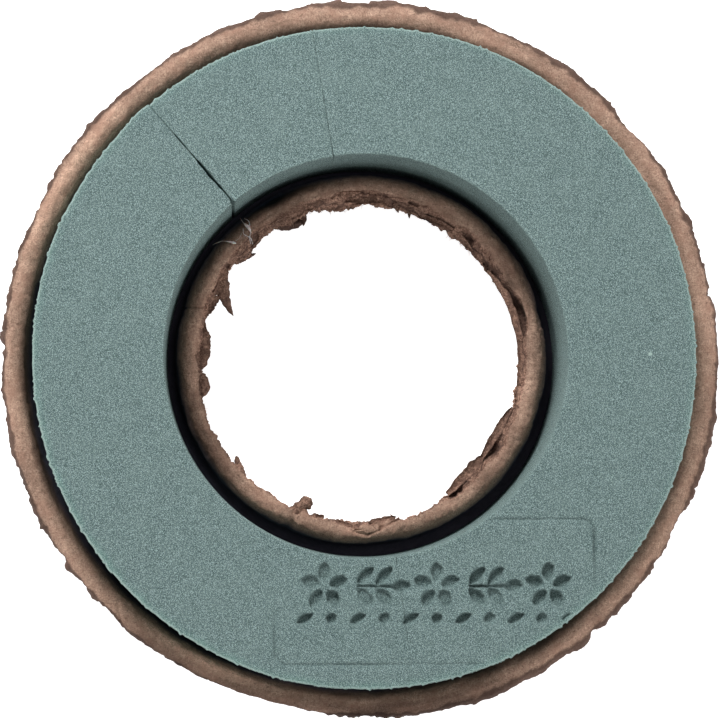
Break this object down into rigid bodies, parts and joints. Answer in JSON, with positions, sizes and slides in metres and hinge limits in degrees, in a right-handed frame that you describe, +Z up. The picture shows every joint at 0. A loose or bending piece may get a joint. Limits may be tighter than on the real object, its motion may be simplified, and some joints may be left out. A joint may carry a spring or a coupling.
{
  "type": "floral foam ring in a pulp tray",
  "caption": "Wreath ring of green floral foam, butted from curved pieces and glued into a channel-shaped brown pulp tray with a rolled rim and a torn inner edge.",
  "frame": {"origin": "on the standing surface, at the middle of the ring", "axes": "+Z up through the open middle, from the tray's base to the top of the foam; the pressed mark is on the -Y side"},
  "size_m": [0.25, 0.25, 0.045],
  "materials": {
    "pulp": "rough moulded pulp",
    "foam": "matte open-cell foam",
    "glue": "cloudy hot-melt glue"
  },
  "bodies": {
    "root": {"pulp_tray": "pulp", "foam_left": "foam", "foam_right": "foam", "foam_wedge": "foam", "glue_bead": "glue", "glue_dab_01": "glue", "glue_dab_02": "glue", "glue_dab_03": "glue", "glue_dab_04": "glue", "glue_dab_05": "glue", "glue_dab_06": "glue", "glue_dab_07": "glue", "glue_dab_08": "glue", "glue_dab_09": "glue", "glue_dab_10": "glue"}
  },
  "joints": []
}
